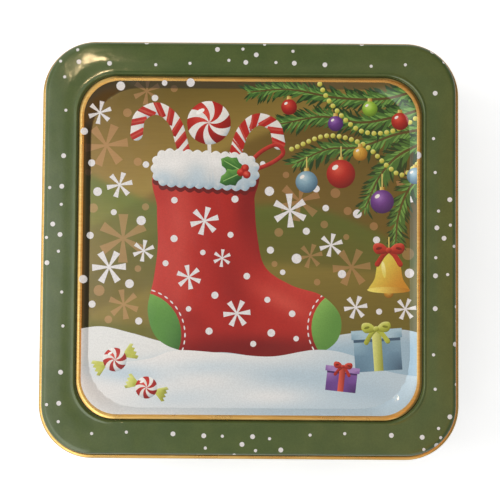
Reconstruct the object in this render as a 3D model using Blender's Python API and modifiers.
"""A square printed tin for Christmas candy: a slip lid over a three-piece tinplate body.

Metres, +Z up. The origin is on the table under the middle of the tin, and the back is +Y.
Every piece is one sheet of tinplate, so each is drawn as the middle surface of its sheet, a loft
of rounded squares, and is given its thickness at the end.
"""

import math

import bmesh
import bpy

MM = 0.001

# Sheet and clearances
SHEET = 0.25 * MM
SEAT_GAP = 0.3 * MM  # where one piece rests on or in another
SLIP_GAP = 0.5 * MM  # between the lid's skirt and the body's wall

# Lid, across its skirt, and the depth from the crest of its frame to the foot of its curl
LID_WIDTH = 150.0 * MM
LID_CORNER = 18.0 * MM
LID_DEPTH = 10.5 * MM
LID_CURL = 0.85 * MM  # radius of the rolled edge, at the middle of the sheet
LID_CURL_OPEN = 125.0  # angle at which the rolled sheet ends, in degrees from outward
SHOULDER_RADIUS = 1.5 * MM
FRAME_CROWN = 300.0 * MM  # radius of the frame's faintly arched section

# Stations across the lid, as distances in from the skirt and heights above the frame's crest
CREST_INSET = 6.3 * MM
RIDGE_FOOT = (10.7 * MM, -0.1 * MM)
RIDGE_CREST = (11.45 * MM, 0.14 * MM)
VALLEY = (12.25 * MM, -0.6 * MM)
GOLD_BEAD = (13.45 * MM, 0.42 * MM)
BEAD_SWELL = 0.6  # below 1 the bead rises early from the valley, to a full round crest
PANEL_FOOT = (16.9 * MM, -0.6 * MM)
BEAD_CORNER = 14.0 * MM  # corner radius of the gold bead
PANEL_CORNER = 17.5 * MM  # corner radius of the crease round the picture panel
PANEL_CROWN = 0.9 * MM  # how far the picture panel rises to its middle

# Body
BODY_HEIGHT = 48.0 * MM  # from the table to the top of its rolled mouth
MOUTH_CURL = 0.75 * MM
MOUTH_CURL_OPEN = 290.0
FLANGE_REACH = 1.1 * MM  # how far the wall's foot turns out into the bottom seam
FLANGE_HEIGHT = 1.0 * MM
FLANGE_BEND = 0.4 * MM
SIDE_SEAM_WIDTH = 5.0 * MM
SIDE_SEAM_DEPTH = 0.45 * MM  # how far the folded seam stands into the tin

# Bottom
SEAM_BEND = 0.35 * MM
FLOOR_HEIGHT = 2.6 * MM  # middle of the sheet at the floor's rim
FLOOR_BEND = 0.8 * MM
FLOOR_STEP_INSET = 11.0 * MM  # from the wall to the pressed step
FLOOR_STEP_RUN = 1.6 * MM
FLOOR_STEP_RISE = 0.8 * MM
FLOOR_STEP_CORNER = 10.0 * MM

# Facets
CORNER_STEPS = 6
SIDE_STEPS = 2
CURL_STEPS = 11
BEND_STEPS = 3
SHOULDER_STEPS = 4
STATION_STEPS = 4
PANEL_RINGS = (0.8, 0.55, 0.3)

GREEN_LACQUER = (0.075, 0.125, 0.04)
GOLD_LACQUER = (0.62, 0.36, 0.09)


def arc(centre, radius, start, end, steps):
    """Points of a round stretch of a section. Angles are in degrees from outward, rising to up."""
    turns = [math.radians(start + (end - start) * i / steps) for i in range(steps + 1)]
    return [(centre[0] + radius * math.cos(a), centre[1] + radius * math.sin(a)) for a in turns]


def eased(start, end, steps, swell=1.0, sweep=math.pi):
    """Points after start on a smooth slope, level at its start.

    A swell below 1 rises early. A full sweep is level at its end too, and half of one ends in a crease.
    """
    points = []
    for i in range(1, steps + 1):
        share = i / steps
        rise = (1 - math.cos(sweep * share**swell)) / (1 - math.cos(sweep))
        points.append((start[0] + (end[0] - start[0]) * share, start[1] + (end[1] - start[1]) * rise))
    return points


def rounded_square(half, corner):
    """Points round a square with rounded corners, the same number whatever its size."""
    straight = half - corner
    points = []
    for quarter in range(4):
        turn = quarter * math.pi / 2
        local = [
            (straight + corner * math.cos(a), straight + corner * math.sin(a))
            for a in (math.pi / 2 * i / CORNER_STEPS for i in range(CORNER_STEPS + 1))
        ]
        local += [(straight - 2 * straight * i / SIDE_STEPS, half) for i in range(1, SIDE_STEPS)]
        points += [
            (x * math.cos(turn) - y * math.sin(turn), x * math.sin(turn) + y * math.cos(turn))
            for x, y in local
        ]
    return points


def level(x, y):
    """The rise of a panel that stays flat."""
    return 0.0


def loft(name, sections, material, home, closed=False, rise=level):
    """One sheet lofted through rounded squares, from its free edge to its middle.

    A section is (half width, corner radius, height), and rise adds the height of a crowned panel at
    each point. A closed loft has a face across its last section.
    """
    mesh = bmesh.new()
    rings = []
    for half, corner, height in sections:
        outline = rounded_square(half, corner)
        rings.append([mesh.verts.new((x, y, height + rise(x, y))) for x, y in outline])
    for outer, inner in zip(rings, rings[1:]):
        for i in range(len(outer)):
            j = (i + 1) % len(outer)
            mesh.faces.new((outer[i], outer[j], inner[j], inner[i]))
    if closed:
        mesh.faces.new(rings[-1])
    mesh.normal_update()
    data = bpy.data.meshes.new(name)
    mesh.to_mesh(data)
    mesh.free()
    data.shade_smooth()
    data.materials.append(material)
    piece = bpy.data.objects.new(name, data)
    home.objects.link(piece)
    thickness = piece.modifiers.new("tinplate", "SOLIDIFY")
    thickness.thickness = SHEET
    thickness.offset = 0.0
    thickness.use_even_offset = True
    thickness.use_quality_normals = True
    return piece


def lacquer(name, colour, metallic, roughness):
    material = bpy.data.materials.new(name)
    material.use_nodes = True
    shader = material.node_tree.nodes["Principled BSDF"]
    shader.inputs["Base Color"].default_value = (*colour, 1.0)
    shader.inputs["Metallic"].default_value = metallic
    shader.inputs["Roughness"].default_value = roughness
    return material


def collection(name):
    found = bpy.data.collections.new(name)
    bpy.context.scene.collection.children.link(found)
    return found


def body_half():
    """Half the body's width at the middle of its sheet."""
    return LID_WIDTH / 2 - SHEET - SLIP_GAP - SHEET / 2


def body_corner(half):
    """The body's corners share their centres with the lid's skirt."""
    return LID_CORNER - (LID_WIDTH / 2 - half)


def mouth_curl_centre():
    return body_half() - MOUTH_CURL, BODY_HEIGHT - MOUTH_CURL - SHEET / 2


def seat_height(roof):
    """How far a roof, given as points of its section, is lifted to rest on the rolled mouth."""
    half, height = mouth_curl_centre()
    reach = MOUTH_CURL + SHEET + SEAT_GAP
    over = [(x - half, z) for x, z in roof if abs(x - half) < reach]
    return height + max(math.sqrt(reach**2 - across**2) - z for across, z in over)


def lid_corner(half):
    """Corner radius across the lid: round the skirt, easing to the gold bead and to the panel's crease."""
    skirt = LID_WIDTH / 2
    bead = skirt - GOLD_BEAD[0]
    foot = skirt - PANEL_FOOT[0]
    if half >= skirt:
        return LID_CORNER + half - skirt
    if half >= bead:
        return BEAD_CORNER + (LID_CORNER - BEAD_CORNER) * (half - bead) / (skirt - bead)
    return PANEL_CORNER + (BEAD_CORNER - PANEL_CORNER) * (half - foot) / (bead - foot)


def lid_outline():
    """The lid's section from the end of its rolled edge to the foot of the picture panel.

    The shoulder runs into the arched frame where the two arcs share a tangent.
    """
    skirt = LID_WIDTH / 2 - SHEET / 2
    shoulder_half = skirt - SHOULDER_RADIUS
    crest_half = LID_WIDTH / 2 - CREST_INSET
    span = FRAME_CROWN - SHOULDER_RADIUS
    meet = math.degrees(math.acos((shoulder_half - crest_half) / span))
    roof = arc((shoulder_half, 0.0), SHOULDER_RADIUS, 0.0, meet, SHOULDER_STEPS)
    crown_height = -span * math.sin(math.radians(meet))
    roof += arc((crest_half, crown_height), FRAME_CROWN, meet, 90.0, BEND_STEPS)[1:]
    lift = seat_height(roof)
    crest = roof[-1][1] + lift
    curl = (skirt + LID_CURL, crest - LID_DEPTH + LID_CURL + SHEET)
    points = arc(curl, LID_CURL, LID_CURL_OPEN, -180.0, CURL_STEPS)
    points += [(half, height + lift) for half, height in roof]
    stations = [(CREST_INSET, 0.0), RIDGE_FOOT, RIDGE_CREST, VALLEY, GOLD_BEAD, PANEL_FOOT]
    stations = [(LID_WIDTH / 2 - inset, crest + rise) for inset, rise in stations]
    for start, end in zip(stations[:3], stations[1:]):
        points += eased(start, end, STATION_STEPS)
    valley, bead, foot = stations[3:]
    points += eased(valley, bead, STATION_STEPS, BEAD_SWELL)
    points += eased(bead, foot, STATION_STEPS, sweep=math.pi / 2)
    return points


def build_lid(home, material):
    sections = [(half, lid_corner(half), height) for half, height in lid_outline()]
    foot, foot_corner, floor = sections[-1]
    for share in PANEL_RINGS:
        half = foot * share
        roundness = foot_corner / foot + (1 - foot_corner / foot) * (1 - share)
        sections.append((half, half * roundness, floor))

    def crown(x, y):
        if max(abs(x), abs(y)) >= foot:
            return 0.0
        return PANEL_CROWN * (1 - (x / foot) ** 2) * (1 - (y / foot) ** 2)

    return loft("lid", sections, material, home, closed=True, rise=crown)


def wall_outline():
    """The body wall's section from the rolled mouth down to the flange that the bottom seam grips."""
    half = body_half()
    curl = mouth_curl_centre()
    points = arc(curl, MOUTH_CURL, MOUTH_CURL_OPEN, 0.0, CURL_STEPS)
    bend = (half + FLANGE_BEND, FLANGE_HEIGHT + SHEET / 2 + FLANGE_BEND)
    points += arc(bend, FLANGE_BEND, 180.0, 270.0, BEND_STEPS)
    points.append((half + FLANGE_REACH, FLANGE_HEIGHT + SHEET / 2))
    return points


def build_wall(home, cutters, material):
    sections = [(half, body_corner(half), height) for half, height in wall_outline()]
    sections.reverse()
    wall = loft("body_wall", sections, material, home)
    foot = FLOOR_HEIGHT + SHEET / 2 + SEAT_GAP
    top = BODY_HEIGHT - 2 * MOUTH_CURL - SHEET - SEAT_GAP
    depth = SHEET / 2 + SIDE_SEAM_DEPTH
    bpy.ops.mesh.primitive_cube_add(size=1.0)
    seam = bpy.context.object
    seam.name = "side_seam_fold"
    seam.scale = (SIDE_SEAM_WIDTH, depth, top - foot)
    seam.location = (0.0, body_half() - depth / 2, (top + foot) / 2)
    bpy.ops.object.transform_apply(location=False, rotation=False, scale=True)
    for holder in seam.users_collection:
        holder.objects.unlink(seam)
    cutters.objects.link(seam)
    seam.hide_render = True
    seam.display_type = "WIRE"
    join = wall.modifiers.new("side_seam", "BOOLEAN")
    join.operation = "UNION"
    join.object = seam
    return wall


def floor_step_half():
    return body_half() - FLOOR_STEP_INSET


def bottom_corner(half):
    """Corner radius across the bottom: round the wall, then round the pressed step."""
    step = floor_step_half()
    if half > step:
        return body_corner(half)
    return FLOOR_STEP_CORNER - (step - half)


def bottom_outline():
    """The bottom's section from the lip over the wall's flange, round the seam, to the floor."""
    wall = body_half()
    flange_top = FLANGE_HEIGHT + SHEET
    lip_height = flange_top + SEAT_GAP + SHEET / 2
    outer = wall + FLANGE_REACH + SEAT_GAP + SHEET / 2
    inner = wall - SHEET - SEAT_GAP
    low = SHEET / 2
    lip_end = wall + SHEET + SEAT_GAP
    points = [(lip_end, lip_height)]
    points += arc((outer - SEAM_BEND, lip_height - SEAM_BEND), SEAM_BEND, 90.0, 0.0, BEND_STEPS)
    points += arc((outer - SEAM_BEND, low + SEAM_BEND), SEAM_BEND, 0.0, -90.0, BEND_STEPS)
    points += arc((inner + SEAM_BEND, low + SEAM_BEND), SEAM_BEND, 270.0, 180.0, BEND_STEPS)
    points += arc((inner - FLOOR_BEND, FLOOR_HEIGHT - FLOOR_BEND), FLOOR_BEND, 0.0, 90.0, BEND_STEPS)
    step = (floor_step_half(), FLOOR_HEIGHT)
    points.append(step)
    points += eased(step, (step[0] - FLOOR_STEP_RUN, step[1] + FLOOR_STEP_RISE), STATION_STEPS)
    return points


def build_bottom(home, material):
    sections = [(half, bottom_corner(half), height) for half, height in bottom_outline()]
    return loft("bottom_panel", sections, material, home, closed=True)


def main():
    for old in list(bpy.data.objects):
        bpy.data.objects.remove(old)
    home = collection("christmas_candy_tin")
    cutters = collection("cutters")
    green = lacquer("green_lacquer", GREEN_LACQUER, 0.7, 0.3)
    gold = lacquer("gold_lacquer", GOLD_LACQUER, 1.0, 0.25)
    build_lid(home, green)
    build_wall(home, cutters, green)
    build_bottom(home, gold)


main()
